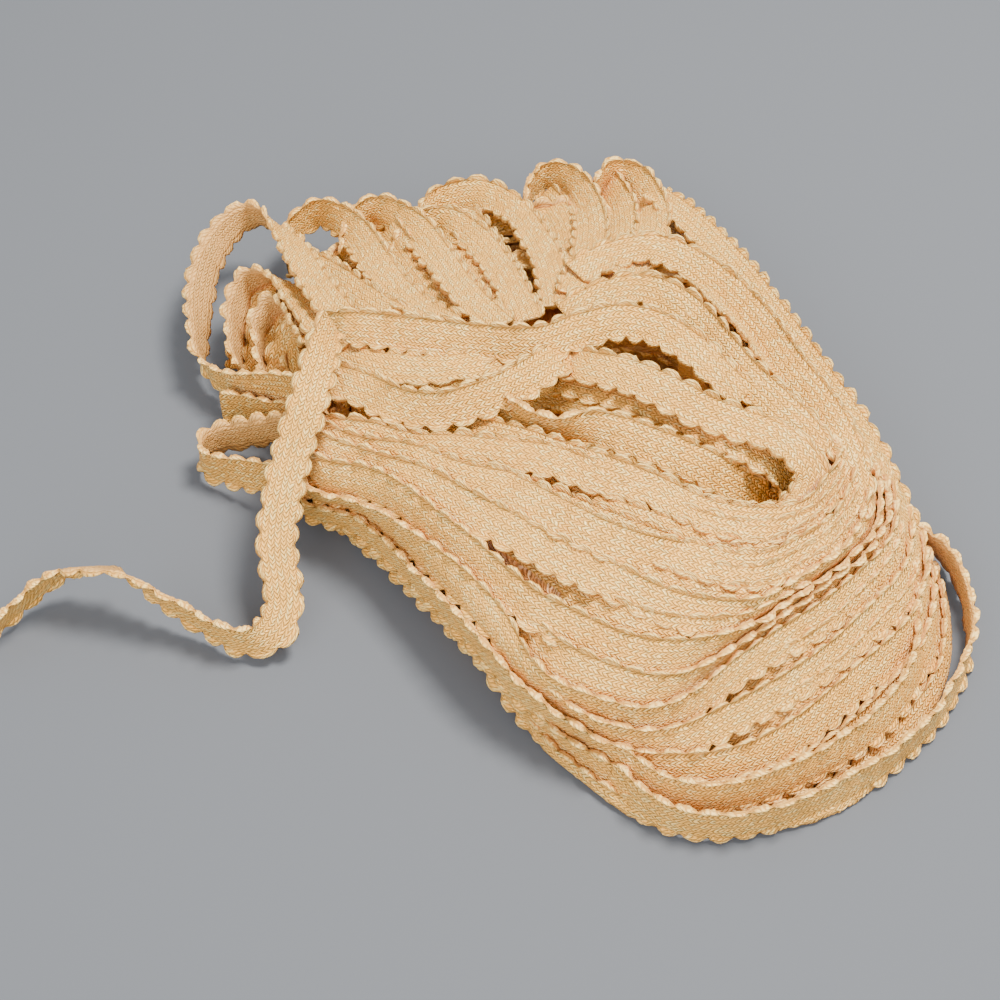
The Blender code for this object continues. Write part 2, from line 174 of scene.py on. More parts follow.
# Where the fan of loops lies on the wound turns, counted in sections: start, end and ramp; how far
# and how many of the turns are pressed down there
FAN_WINDOW = (15.3, 24.0, 1.4)
FAN_SINK = 0.0068
FAN_LEVELS = 5

# Turns inside the hollow: how many, how far each lies inside and below the last, and their seed
INNER_WALL_TURNS = 3
INNER_WALL_INSET = 0.0016
INNER_WALL_STEP = 0.0045
INNER_WALL_SEED = 14

# Packed turns out of sight: how far under the ones that show, the inset and height of the hollow's
# floor, the height of their foot, and the stitched lengths that their rings and steps stand for
HIDDEN_DEPTH = 0.0036
HIDDEN_INSET = 0.002
HIDDEN_FLOOR = 0.010
HIDDEN_FOOT = 0.0003
HIDDEN_TURN_LENGTH = 0.45
HIDDEN_STEP_WIDTH = 0.004

# Wound turns in one mesh each: name, first and last level, seed
WOUND_GROUPS = (
    ("wound_upper", (0, 2), 11),
    ("wound_middle", (2, 5), 12),
    ("wound_lower", (5, 7), 13),
    ("wound_foot", (7, 10), 15),
)

# Turns that show between two levels for part of the way round, and the layers that they lie further
# in elsewhere. Columns: level, part of the way to the next one, first and last section where it shows
HIDDEN_LAYERS = 2.0
TURNS_BETWEEN = (
    (0, 0.33, 4.5, 12.5),
    (0, 0.67, 3.0, 11.5),
    (1, 0.33, 5.0, 12.0),
    (1, 0.67, 3.5, 11.0),
    (2, 0.50, 3.5, 9.0),
    (5, 0.50, 6.5, 12.0),
    (6, 0.50, 6.5, 11.5),
)

# Turns that go out of sight behind their neighbours at the left of the hank, where fewer show.
# Columns: level, first and last section, counted on past the last one, and layers further in
TURNS_SUNK = (
    (4, 22.0, 28.5, 1.4),
    (6, 22.0, 29.0, 1.4),
    (8, 21.0, 29.0, 1.4),
    (9, 21.0, 29.0, 2.4),
)

# Guides of the wound body, from the inner crest down the slope to the foot
GUIDES = ("crest", "brow", "fold", "cheek", "hem", "foot")

# Sections of the wound body, which go round the hank: near side to the right, round the end, and
# back. Each guide has its photo position and its height above the table in mm
WOUND_SECTIONS = [
    ((330, 408, 29), (322, 428, 28), (316, 447, 26), (308, 478, 20), (304, 494, 12), (300, 514, 0)),
    ((385, 420, 32), (378, 445, 31), (368, 462, 29), (356, 498, 23), (352, 512, 16), (345, 544, 0)),
    ((445, 428, 35), (432, 466, 34), (418, 489, 32), (402, 518, 26), (394, 543, 19), (384, 584, 0)),
    ((545, 440, 38), (535, 517, 36), (520, 568, 32), (497, 592, 28), (481, 634, 22), (466, 673, 0)),
    ((600, 456, 38), (592, 547, 35), (575, 602, 31), (545, 665, 23), (531, 686, 19), (512, 729, 0)),
    ((655, 470, 37), (646, 574, 34), (640, 628, 29), (608, 695, 22), (594, 731, 15), (566, 773, 0)),
    ((715, 494, 36), (703, 590, 32), (700, 635, 28), (668, 699, 20), (655, 748, 12), (642, 826, 0)),
    ((765, 502, 35), (760, 592, 31), (757, 618, 27), (745, 646, 22), (730, 742, 13), (735, 837, 0)),
    ((806, 492, 34), (811, 563, 30), (815, 580, 27), (812, 600, 23), (810, 700, 13), (825, 822, 0)),
    ((828, 470, 33), (838, 548, 30), (848, 556, 27), (858, 565, 23), (872, 645, 14), (893, 770, 0)),
    ((835, 455, 32), (860, 512, 29), (872, 522, 26), (886, 535, 22), (912, 600, 14), (945, 690, 0)),
    ((838, 443, 31), (865, 480, 28), (878, 490, 25), (893, 502, 21), (925, 545, 13), (948, 610, 0)),
    ((822, 427, 31), (852, 448, 28), (868, 455, 24), (882, 466, 20), (903, 505, 12), (923, 560, 0)),
    ((790, 412, 31), (822, 405, 27), (838, 412, 23), (848, 425, 19), (860, 455, 11), (870, 492, 0)),
    ((745, 380, 32), (780, 355, 27), (793, 362, 23), (802, 378, 18), (811, 405, 11), (818, 440, 0)),
    ((705, 335, 32), (738, 300, 27), (750, 307, 22), (757, 325, 17), (764, 352, 10), (770, 385, 0)),
    ((655, 300, 31), (690, 240, 25), (700, 250, 20), (708, 268, 16), (714, 295, 9), (720, 325, 0)),
    ((590, 290, 30), (625, 210, 22), (636, 205, 18), (644, 215, 14), (652, 232, 8), (658, 255, 0)),
    ((530, 285, 29), (550, 215, 21), (558, 203, 17), (563, 202, 13), (568, 208, 8), (574, 222, 0)),
    ((470, 275, 28), (470, 225, 20), (470, 215, 16), (470, 213, 12), (470, 215, 7), (470, 225, 0)),
    ((410, 275, 27), (385, 235, 19), (378, 228, 16), (374, 226, 12), (372, 230, 7), (370, 240, 0)),
    ((350, 295, 27), (322, 275, 20), (315, 270, 16), (310, 271, 12), (306, 276, 7), (303, 286, 0)),
    ((320, 335, 28), (296, 333, 22), (289, 337, 18), (284, 342, 13), (281, 350, 7), (279, 362, 0)),
    ((318, 372, 29), (303, 390, 23), (299, 400, 19), (295, 410, 14), (292, 420, 8), (290, 432, 0)),
]

# Turns that stand clear of the wound body, from the inside of the hank outwards. Columns: photo
# position, height above the table in mm, and lean in degrees, where 0 stands and 90 lies flat
INNER_TURNS = {
    "inner_upper": [
        (548, 358, 29, 60), (585, 366, 36, 64), (625, 374, 39, 64), (665, 391, 40, 62),
        (702, 410, 38, 64), (740, 424, 36, 70), (775, 437, 34, 80), (801, 456, 32, 90),
        (812, 484, 29, 100), (795, 512, 29, 110), (755, 524, 30, 115), (705, 514, 32, 118),
        (655, 492, 35.5, 118), (608, 474, 37, 116), (560, 458, 36.5, 112),
        (515, 442, 35, 106), (470, 432, 31, 100),
    ],
    "inner_middle": [
        (560, 378, 30, 66), (600, 388, 34, 66), (645, 400, 36, 66), (690, 419, 35.5, 66),
        (730, 438, 33.5, 70), (763, 456, 30, 80), (786, 478, 25, 90), (798, 506, 19, 100),
    ],
    "inner_lower": [
        (492, 402, 31, 40), (526, 420, 35, 4), (556, 428, 36.5, -4), (590, 427, 37, 30),
        (622, 434, 37.5, 54), (655, 446, 36, 58), (695, 462, 33, 55), (728, 480, 28, 50),
        (752, 495, 22, 45), (772, 512, 16, 40),
    ],
}

# Turns that lie flat on the floor of the hollow
FLOOR_TURNS = {
    "floor_far": [
        (430, 318, 12, 92), (520, 322, 13, 88), (610, 334, 14, 92), (700, 364, 14, 88),
        (775, 414, 13, 90),
    ],
    "floor_second": [
        (380, 350, 12, 88), (480, 356, 14, 92), (580, 364, 15, 88), (680, 394, 15, 92),
        (772, 444, 14, 88),
    ],
    "floor_third": [
        (350, 385, 13, 92), (450, 394, 14, 88), (560, 400, 16, 92), (660, 430, 16, 88),
        (762, 482, 14, 92),
    ],
    "floor_near": [
        (352, 420, 12, 88), (450, 430, 13, 92), (560, 438, 14, 88), (660, 466, 14, 92),
        (740, 508, 13, 88),
    ],
}

# Turns along the far side of the hollow and of the hank
FAR_TURNS = {
    "far_narrow": [
        (822, 462, 30, 90), (802, 429, 31.5, 100), (769, 397, 32, 114), (740, 370, 32.5, 122),
        (713, 338, 32.5, 124), (680, 305, 32.5, 116), (641, 289, 31.5, 104), (600, 296, 30, 95),
        (565, 316, 28, 92),
    ],
    "far_wide": [
        (440, 458, 29, 72), (485, 478, 34, 70), (535, 503, 36.5, 68), (588, 531, 36.5, 66),
        (645, 552, 35, 62), (705, 562, 31, 58), (755, 562, 29.5, 55), (800, 551, 28.5, 55),
        (835, 530, 28, 58), (854, 498, 28, 66), (849, 456, 30, 80),
        (824, 411, 30.5, 108), (789, 366, 30, 118), (756, 320, 29, 122), (715, 280, 28, 116),
        (662, 250, 27.5, 100), (615, 254, 27, 96), (575, 274, 27, 92),
    ],
    "far_outer": [
        (560, 706, 8, 30), (590, 736, 8, 26), (625, 766, 8, 22), (665, 790, 8, 20),
        (715, 797, 8.5, 18), (775, 782, 9, 18), (830, 756, 9.5, 18), (876, 724, 10, 20),
        (908, 684, 9, 22), (924, 630, 7.5, 26), (920, 570, 11, 36),
        (902, 508, 17, 54), (868, 445, 23, 72), (826, 388, 25.5, 86), (780, 325, 25, 95),
        (735, 268, 23, 95), (692, 222, 20, 92), (655, 192, 16, 80),
    ],
    "far_under": [
        (775, 352, 24, 95), (742, 305, 22, 95), (708, 262, 19, 92), (678, 232, 15, 88),
        (648, 218, 12, 84),
    ],
}

# Turns that cross the hank at its left like a tie
TIE_TURNS = {
    "tie_upper": [
        (322, 330, 30, 50), (360, 328, 34, 45), (420, 334, 36, 42), (480, 341, 37, 40),
        (540, 343, 38, 42), (580, 330, 38, 48), (620, 321, 38, 54), (655, 327, 37, 64),
        (688, 346, 36, 76), (718, 373, 34, 86), (744, 398, 31, 92),
    ],
    "tie_under": [
        (332, 350, 27, 66), (368, 364, 30.5, 76), (420, 370, 33, 82), (472, 366, 34, 84),
        (528, 352, 33, 80),
    ],
    "tie_lower": [
        (330, 378, 29, 70), (365, 390, 32, 60), (400, 405, 35, 45), (440, 409, 37, 40),
        (480, 399, 38, 42), (515, 384, 38, 48), (546, 366, 36.5, 60), (572, 350, 34, 66),
        (592, 336, 31, 66),
    ],
}

# Loops at the left end, and the small turns nested in them
LEFT_TURNS = {
    "standing_loop": [
        (345, 392, 27, 150), (305, 391, 22, 165), (262, 386, 15, 178), (226, 381, 10, 184),
        (206, 368, 9, 190), (199, 345, 11, 202), (200, 300, 14, 220), (209, 258, 17, 222),
        (228, 228, 18, 206), (256, 215, 19, 172), (284, 232, 21, 130), (306, 268, 25, 108),
        (328, 300, 28, 100), (350, 325, 30, 95),
    ],
    "second_loop": [
        (240, 372, 9, 190), (236, 340, 11, 202), (237, 308, 13, 208), (249, 282, 15, 190),
        (272, 277, 18, 150), (296, 296, 22, 118), (318, 324, 26, 104), (342, 345, 29, 98),
    ],
    "third_loop": [
        (266, 378, 9, 190), (260, 345, 11, 195), (264, 318, 14, 198), (280, 306, 17, 165),
        (300, 318, 21, 130), (318, 342, 25, 110),
    ],
    "nest_first": [
        (322, 322, 22, 98), (300, 330, 17, 96), (286, 350, 12, 94), (281, 378, 7, 92),
    ],
    "nest_second": [
        (302, 302, 18, 98), (280, 312, 13, 94), (265, 336, 9, 90), (260, 372, 6, 88),
    ],
    "nest_third": [
        (276, 290, 14, 94), (256, 304, 10, 92), (247, 334, 7, 90), (244, 368, 5, 88),
    ],
    "upper_under": [
        (222, 405, 7, 10), (250, 409, 8, 10), (285, 418, 12, 15), (320, 425, 18, 25),
    ],
    "lower_fold": [
        (330, 430, 22, 10), (285, 428, 13, 0), (240, 434, 8, -5), (213, 441, 7, -5),
        (202, 455, 7, 0), (214, 468, 7, 8), (250, 474, 9, 14), (300, 484, 14, 28),
    ],
}

# Loops that fan out at the far left, each from the table up and over to the top of the hank
FAN_TURNS = {
    "fan_first": [
        (288, 264, 9, 6), (292, 232, 11, 8), (318, 213, 13, 14), (352, 228, 17, 40),
        (380, 268, 23, 84), (410, 302, 27, 92), (450, 325, 31, 90),
    ],
    "fan_inner": [
        (300, 262, 13, 60), (330, 276, 19, 74), (366, 300, 25, 82), (405, 322, 28, 84),
        (450, 336, 30, 80),
    ],
    "fan_second": [
        (342, 262, 10, 8), (347, 230, 12, 10), (374, 211, 14, 20), (410, 224, 18, 48),
        (440, 260, 23, 88), (468, 296, 28, 92), (500, 326, 32, 88),
    ],
    "fan_third": [
        (420, 236, 8, 20), (438, 204, 9, 30), (480, 194, 12, 62), (520, 216, 16, 90),
        (548, 262, 22, 95), (558, 306, 28, 88),
    ],
    "fan_fourth": [
        (392, 268, 11, 12), (408, 236, 13, 20), (446, 222, 17, 50), (484, 248, 22, 84),
        (510, 286, 28, 94), (526, 320, 31, 88),
    ],
    "fan_fifth": [
        (440, 244, 16, 70), (462, 262, 21, 86), (484, 288, 26, 90), (508, 320, 30, 86),
    ],
    "top_loop_left": [
        (530, 240, 8, 4), (525, 204, 9, 4), (543, 177, 10, 8), (573, 182, 13, 30),
        (590, 214, 17, 66), (588, 254, 22, 90), (574, 294, 28, 92),
    ],
    "top_loop_right": [
        (598, 238, 8, 4), (592, 202, 9, 5), (609, 175, 11, 10), (637, 180, 13, 30),
        (653, 208, 17, 64), (649, 242, 22, 90), (626, 276, 27, 92),
    ],
}

# The slack turn that stands round the near side and the right end
OUTER_TURNS = {
    "slack_turn": [
        (610, 775, 5.3, 20), (640, 801, 5.3, 16), (690, 823, 5.3, 12), (740, 824, 5.3, 10),
        (792, 811, 5.3, 10), (855, 783, 5.3, 10), (905, 748, 5.3, 10), (942, 708, 5.3, 8),
        (964, 664, 5.3, 6), (970, 620, 5.5, 4), (960, 580, 6, 4), (940, 550, 7, 8),
        (908, 528, 9, 18),
    ],
}

# The loose end, from its cut tip at the left to the top of the hank
LOOSE_SEED = 27
LOOSE_END = [
    (-22, 646, 7, -10), (8, 614, 7.5, -14), (36, 590, 9, -22), (64, 573, 12, -30),
    (100, 568, 15, -36), (133, 579, 14, -22), (163, 599, 11, -10), (194, 618, 8, -4),
    (226, 636, 6.8, 0), (254, 641, 6.6, 14), (274, 630, 8, 45), (283, 606, 10, 68),
    (281, 580, 13, 76), (277, 545, 17, 80), (281, 505, 21.5, 82), (292, 455, 27.2, 82),
    (305, 412, 32.2, 74), (316, 372, 35.6, 54), (324, 342, 36.8, 40), (331, 322, 36.6, 30),
]


def place(px, py, mm):
    """The point in space that is seen at a photo position, at a known height above the table."""
    eye = TOWARDS * -EYE_DISTANCE
    ray = TOWARDS * FOCAL_LENGTH + UPWARDS * (PHOTO_MIDDLE - py)
    ray.x = px - PHOTO_MIDDLE
    reach = (mm / 1000.0 - eye.z) / ray.z
    return eye + ray * reach + TABLE_SHIFT


def spline(rows, closed=False):
    """Smooth curve (Catmull-Rom) through rows of numbers, as one dense array."""
    rows = np.asarray(rows, dtype=float)
    count = len(rows)
    t = np.linspace(0.0, 1.0, SAMPLES_PER_SPAN, endpoint=False)[:, None]
    pieces = []
    for span in range(count if closed else count - 1):
        picks = [span - 1, span, span + 1, span + 2]
        if closed:
            picks = [pick % count for pick in picks]
        else:
            picks = [min(max(pick, 0), count - 1) for pick in picks]
        before, start, end, after = (rows[pick] for pick in picks)
        line = start + (end - before) * (0.5 * t)
        square = 2.0 * before - 5.0 * start + 4.0 * end - after
        cube = 3.0 * start - before - 3.0 * end + after
        pieces.append(line + square * (0.5 * t * t) + cube * (0.5 * t * t * t))
    if not closed:
        pieces.append(rows[-1:])
    return np.concatenate(pieces)


def between(first, second):
    """A table half way from one ribbon's table to another's, and lower by some mm."""
    rows = []
    for table in (first, second):
        line = spline(table)
        picks = np.linspace(BETWEEN_START * len(line), len(line) - 1, ROWS_BETWEEN).astype(int)
        rows.append(line[picks])
    mixed = rows[0] + (rows[1] - rows[0]) * 0.5
    lower = BETWEEN_LOWER_MM + BETWEEN_DROP_MM * np.linspace(1.0, 0.0, ROWS_BETWEEN) ** 2
    mixed[:, 2] = np.maximum(mixed[:, 2] - lower, LOWEST_MM)
    return mixed


def unit(vectors):
    """Vectors of length one."""
    return vectors / np.maximum(np.linalg.norm(vectors, axis=-1, keepdims=True), 1e-12)


def respaced(line, closed=False):
    """Stations along a line a fixed part of a scallop apart; its first three columns are the place."""
    if closed:
        line = np.concatenate([line, line[:1]])
    steps = np.linalg.norm(np.diff(line[:, :3], axis=0), axis=1)
    travelled = np.concatenate([[0.0], np.cumsum(steps)])
    scallops = max(2, round(travelled[-1] / SCALLOP_PITCH))
    stations = scallops * STEPS_PER_SCALLOP
    wanted = np.linspace(0.0, travelled[-1], stations + 1)
    if closed:
        wanted = wanted[:-1]
    columns = [np.interp(wanted, travelled, line[:, column]) for column in range(line.shape[1])]
    return np.stack(columns, axis=1), wanted


def slope_along(line, closed=False):
    """Direction of travel at every station of a line."""
    if closed:
        return unit(np.roll(line, -1, axis=0) - np.roll(line, 1, axis=0))
    return unit(np.gradient(line, axis=0))


def wander(random, count, size, slowest, fastest, closed):
    """Smooth seeded unevenness along a braid: a sum of slow waves."""
    turn = np.linspace(0.0, 2.0 * math.pi, count, endpoint=not closed)
    total = np.zeros(count)
    for wave in range(slowest, fastest + 1):
        total += random.uniform(-1.0, 1.0) * np.sin(wave * turn + random.uniform(0.0, 2.0 * math.pi))
    return total * size / math.sqrt(fastest - slowest + 1)


def window(position, start, end, ramp):
    """One between two places round the hank, nought outside them, with soft ramps."""
    rise = np.clip((position - start) / ramp, 0.0, 1.0)
    fall = np.clip((end - position) / ramp, 0.0, 1.0)
    share = np.minimum(rise, fall)
    return share * share * (3.0 - 2.0 * share)


class Braids:
    """Gathers braids, then makes one mesh object of them."""

    def __init__(self, seed):
        self.random = np.random.default_rng(seed)
        self.points = []
        self.quads = []
        self.caps = []
        self.places = []
        self.tones = []
        self.lobes = []
        self.count = 0

    def sections(self, count, flare):
        """Place across and height at every station, for every point of the section."""
        number = np.arange(count)
        across = np.empty((count, len(SECTION)))
        heights = np.empty((count, len(SECTION)))
        shapes = np.empty((count, len(SECTION)))
        lobes = {}
        for side in (1.0, -1.0):
            shift = 0.0 if side > 0.0 else 0.5 * STEPS_PER_SCALLOP
            phase = (number + shift) / STEPS_PER_SCALLOP
            lobe = np.sqrt(np.maximum(1.0 - ((phase % 1.0 - 0.5) / SCALLOP_SHARE) ** 2, 0.0))
            last = int(phase.max()) + 2
            size = self.random.uniform(*SCALLOP_SIZES, size=last)
            lift = self.random.uniform(*TIP_BENDS, size=last)
            index = phase.astype(int)
            lobes[side] = (lobe, size[index], (lift[index] + flare) * lobe)
        for column, (body, edge, height, pulse) in enumerate(SECTION):
            lobe, size, lift = lobes[1.0 if body >= 0.0 else -1.0]
            reach = HALF_WIDTH - ROWS_HALF_WIDTH - SCALLOP_DEPTH * (1.0 - lobe * size)
            across[:, column] = body * ROWS_HALF_WIDTH + edge * reach
            heights[:, column] = height / 1000.0 * (1.0 - pulse * (1.0 - lobe)) + lift * abs(edge)
            shapes[:, column] = lobe
        uneven = ROWS_UNEVEN + EDGE_UNEVEN * np.abs(SECTION[:, 1])
        across += self.random.normal(0.0, 1.0, size=across.shape) * uneven
        heights += self.random.normal(0.0, 1.0, size=heights.shape) * uneven
        self.lobes.append(shapes.ravel())
        return across, heights

    def add(self, middles, normals, heights, across, travelled, closed):
        """Points from the middle surface and its normals, with faces and places along and across."""
        stations, around = heights.shape
        self.points.append((middles + normals * heights[..., None]).reshape(-1, 3))
        row = np.arange(stations if closed else stations - 1)[:, None]
        column = np.arange(around)[None, :]
        following = (row + 1) % stations
        beside = (column + 1) % around
        corners = ((row, column), (row, beside), (following, beside), (following, column))
        quads = np.stack([at_row * around + at_column for at_row, at_column in corners], axis=-1)
        self.quads.append(quads.reshape(-1, 4) + self.count)
        whole = travelled[-1] + travelled[1]
        here = np.broadcast_to(travelled[row], quads.shape[:2])
        ahead = np.broadcast_to(np.where(following > row, travelled[following], whole), quads.shape[:2])
        along = np.stack([here, here, ahead, ahead], axis=-1) + self.random.uniform(0.0, 1.0)
        sideways = np.stack([across[at_row, at_column] for at_row, at_column in corners], axis=-1)
        self.places.append(np.stack([along, sideways], axis=-1).reshape(-1, 2))
        self.tones.append(np.full(stations, self.random.uniform(0.0, 1.0)))
        if not closed:
            start = np.arange(around) + self.count
            self.caps.append(start[::-1])
            self.caps.append(start + (stations - 1) * around)
        self.count += stations * around

    def ribbon(self, rows):
        """A braid swept along a table of photo positions, heights and leans."""
        table = [(*place(px, py, mm), math.radians(lean)) for px, py, mm, lean in rows]
        line, travelled = respaced(spline(table))
        points = line[:, :3]
        count = len(points)
        along = slope_along(points)
        side = unit(np.cross(along, (0.0, 0.0, 1.0)))
        over = np.cross(side, along)
        lean = line[:, 3] + wander(self.random, count, *RIBBON_TWIST, False)
        cosine = np.cos(lean)[:, None]
        sine = np.sin(lean)[:, None]
        face = side * cosine + over * sine
        over_face = over * cosine - side * sine
        points = points + face * wander(self.random, count, *RIBBON_STRAY, False)[:, None]
        across, heights = self.sections(count, RIBBON_FLARE)
        middles = points[:, None, :] + over_face[:, None, :] * across[..., None]
        normals = np.broadcast_to(face[:, None, :], middles.shape)
        self.add(middles, normals, heights, across, travelled, False)

    def turn(self, controls):
        """A closed turn that hangs from its top edge over the points below it, one ring for each."""
        rings = [ring.copy() for ring in controls]
        count = len(rings[0])
        along = slope_along(rings[0], True)
        down = unit(rings[1] - rings[0])
        out = unit(np.cross(down, along))
        rings[0] = rings[0] + down * wander(self.random, count, *TURN_STRAY_DOWN, True)[:, None]
        rings[0] = rings[0] + out * wander(self.random, count, *TURN_STRAY_OUT, True)[:, None]
        across, heights = self.sections(count, WOUND_FLARE)
        reach = HALF_WIDTH - across
        shifts = (-BEND_REACH, 0.0, BEND_REACH)
        before, here, after = (along_rings(rings, reach + shift) for shift in shifts)
        surface = (before + here + after) / 3.0
        slope = unit(after - before)
        normals = unit(np.cross(slope, along[:, None, :]))
        travelled = np.concatenate([[0.0], np.cumsum(np.linalg.norm(np.diff(rings[0], axis=0), axis=1))])
        self.add(surface, normals, heights, across, travelled, True)

    def make(self, name, material, node):
        """The object of all the braids gathered so far."""
        points = np.concatenate(self.points)
        points[:, 2] = np.maximum(points[:, 2], LOWEST_POINT)
        quads = np.concatenate(self.quads)
        around = len(SECTION)
        caps = np.array(self.caps, dtype=np.int64).reshape(-1, around)
        corners = np.concatenate([quads.ravel(), caps.ravel()])
        starts = np.concatenate([np.arange(len(quads)) * 4, quads.size + np.arange(len(caps)) * around])
        places = np.concatenate(self.places + [np.zeros((caps.size, 2))])
        tones = np.repeat(np.concatenate(self.tones), around)
        edges = np.tile(np.abs(SECTION[:, 1]), len(points) // around)
        backs = np.tile(np.arange(around) >= FRONT_POINTS, len(points) // around)
        mesh = bpy.data.meshes.new(name)
        mesh.vertices.add(len(points))
        mesh.vertices.foreach_set("co", points.astype(np.float32).ravel())
        mesh.loops.add(len(corners))
        mesh.loops.foreach_set("vertex_index", corners.astype(np.int32))
        mesh.polygons.add(len(starts))
        mesh.polygons.foreach_set("loop_start", starts.astype(np.int32))
        mesh.polygons.foreach_set("use_smooth", np.ones(len(starts), dtype=bool))
        layer = mesh.uv_layers.new(name="braid")
        layer.data.foreach_set("uv", places.astype(np.float32).ravel())
        lobes = np.concatenate(self.lobes)
        for title, values in (("tone", tones), ("edge", edges), ("back", backs), ("lobe", lobes)):
            attribute = mesh.attributes.new(title, "FLOAT", "POINT")
            attribute.data.foreach_set("value", values.astype(np.float32))
        mesh.update()
        mesh.validate()
        mesh.materials.append(material)
        made = bpy.data.objects.new(name, mesh)
        bpy.context.scene.collection.objects.link(made)
        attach(made, "root")
        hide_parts(node)
        return made


def along_rings(rings, reach):
    """Places a given reach down from the first ring, over the rings below it."""
    passed = np.zeros(len(rings[0]))
    result = None
    for index in range(len(rings) - 1):
        step = rings[index + 1] - rings[index]
        length = np.linalg.norm(step, axis=1)
        share = (reach - passed[:, None]) / np.maximum(length, 1e-9)[:, None]
        here = rings[index][:, None, :] + step[:, None, :] * share[..., None]
        if result is None:
            result = here
        else:
            result = np.where((reach > passed[:, None])[..., None], here, result)
        passed = passed + length
    return result


def round_hank(count):
    """Where each dense station lies round the hank, counted in sections."""
    return np.arange(count) / SAMPLES_PER_SPAN


def wound_levels():
    """Dense rings for every turn of the wound body, from the inner crest to the foot."""
    guides = []
    for guide in range(len(GUIDES)):
        guides.append(spline([tuple(place(*section[guide])) for section in WOUND_SECTIONS], True))
    levels = []
    for upper, turns in enumerate(TURNS_BETWEEN_GUIDES):
        for turn in range(turns):
            levels.append(guides[upper] + (guides[upper + 1] - guides[upper]) * (turn / turns))
    levels.append(guides[-1])
    sunk = window(round_hank(len(levels[0])), *FAN_WINDOW)[:, None] * FAN_SINK
    normals = slope_normals(levels)
    for index in range(FAN_LEVELS):
        levels[index] = levels[index] - normals[index] * sunk
    return levels


def slope_normals(levels):
    """Outward normal of the wound slope at every ring."""
    normals = []
    for index in range(len(levels)):
        above = levels[max(index - 1, 0)]
        below = levels[min(index + 1, len(levels) - 1)]
        along = slope_along(levels[index], True)
        normals.append(unit(np.cross(below - above, along)))
    return normals


def respace_rings(rings):
    """The same rings with stations spaced evenly along the first one."""
    joined = np.concatenate(rings, axis=1)
    line, _ = respaced(joined, True)
    return [line[:, 3 * index:3 * index + 3] for index in range(len(rings))]


def sunk_share(level):
    """How far a turn is out of sight behind its neighbours, round the hank, and in how many layers."""
    position = round_hank(len(WOUND_SECTIONS) * SAMPLES_PER_SPAN)
    further = np.where(position < 0.5 * len(WOUND_SECTIONS), position + len(WOUND_SECTIONS), position)
    for sunk, start, end, layers in TURNS_SUNK:
        if sunk == level:
            return window(further, start, end, SECTION_RAMP), layers
    return np.zeros(len(position)), 0.0


def turn_controls(levels, normals, level, part, depth):
    """Rings that one turn hangs over: its top edge, then behind the turns that show below it."""
    last = len(levels) - 1
    depth = np.broadcast_to(depth, len(levels[0]))[:, None]
    top = levels[level] + (levels[level + 1] - levels[level]) * part - normals[level] * depth
    rings = [top]
    layers = np.full((len(levels[0]), 1), -part)
    for index in range(level + 1, last):
        layers = layers + 1.0 - sunk_share(index)[0][:, None]
        rings.append(levels[index] - normals[index] * (LAYER_SPACING * np.maximum(layers, 0.0) + depth))
    flat_out = unit(normals[last] * (1.0, 1.0, 0.0))
    foot = levels[last] - flat_out * (LAYER_SPACING * np.maximum(layers, 0.0) + depth)
    rings.append(foot)
    rings.append(foot - flat_out * (2.0 * BRAID_WIDTH))
    for ring in rings:
        ring[:, 2] = np.maximum(ring[:, 2], TABLE_CLEARANCE)
    return respace_rings(rings)


class Shader:
    """Short calls for the nodes of one material."""

    def __init__(self, name):
        self.material = bpy.data.materials.new(name)
        self.material.use_nodes = True
        self.nodes = self.material.node_tree.nodes
        self.links = self.material.node_tree.links
        self.shader = self.nodes["Principled BSDF"]

    def wire(self, socket, value):
        """Sets a socket to a number or a colour, or links it to another node's output."""
        if isinstance(value, (int, float)):
            socket.default_value = value
        elif isinstance(value, tuple):
            socket.default_value = (*value, 1.0)
        elif value is not None:
            self.links.new(value, socket)

    def maths(self, operation, first, second=None):
        """Result of a Math node."""
        node = self.nodes.new("ShaderNodeMath")
        node.operation = operation
        self.wire(node.inputs[0], first)
        self.wire(node.inputs[1], second)
        return node.outputs[0]

    def ramp(self, value, low, high, to_low=0.0, to_high=1.0):
        """Smooth rise from one value to another, between two limits."""
        node = self.nodes.new("ShaderNodeMapRange")
        node.interpolation_type = "SMOOTHSTEP"
        for title, given in (("Value", value), ("From Min", low), ("From Max", high),
                             ("To Min", to_low), ("To Max", to_high)):
            self.wire(node.inputs[title], given)
        return node.outputs[0]

    def mix(self, factor, first, second, blend="MIX"):
        """Colour mixed from two."""
        node = self.nodes.new("ShaderNodeMix")
        node.data_type = "RGBA"
        node.blend_type = blend
        for number, value in ((0, factor), (6, first), (7, second)):
            self.wire(node.inputs[number], value)
        return node.outputs[2]

    def blend(self, factor, first, second):
        """Number part of the way from the first to the second."""
        gap = self.maths("SUBTRACT", second, first)
        return self.maths("ADD", first, self.maths("MULTIPLY", gap, factor))

    def noise(self, scale, detail, vector):
        """Soft noise at a place."""
        node = self.nodes.new("ShaderNodeTexNoise")
        node.inputs["Scale"].default_value = scale
        node.inputs["Detail"].default_value = detail
        self.links.new(vector, node.inputs["Vector"])
        return node.outputs["Fac"]

    def attribute(self, title):
        """A number that the mesh holds at each point."""
        node = self.nodes.new("ShaderNodeAttribute")
        node.attribute_name = title
        return node.outputs["Fac"]

    def chance(self, first, second, third=0.0):
        """A number by chance for each pair of whole numbers."""
        cell = self.nodes.new("ShaderNodeCombineXYZ")
        for socket, value in zip(cell.inputs, (first, second, third)):
            self.wire(socket, value)
        white = self.nodes.new("ShaderNodeTexWhiteNoise")
        white.noise_dimensions = "3D"
        self.links.new(cell.outputs[0], white.inputs["Vector"])
        return white.outputs["Value"]


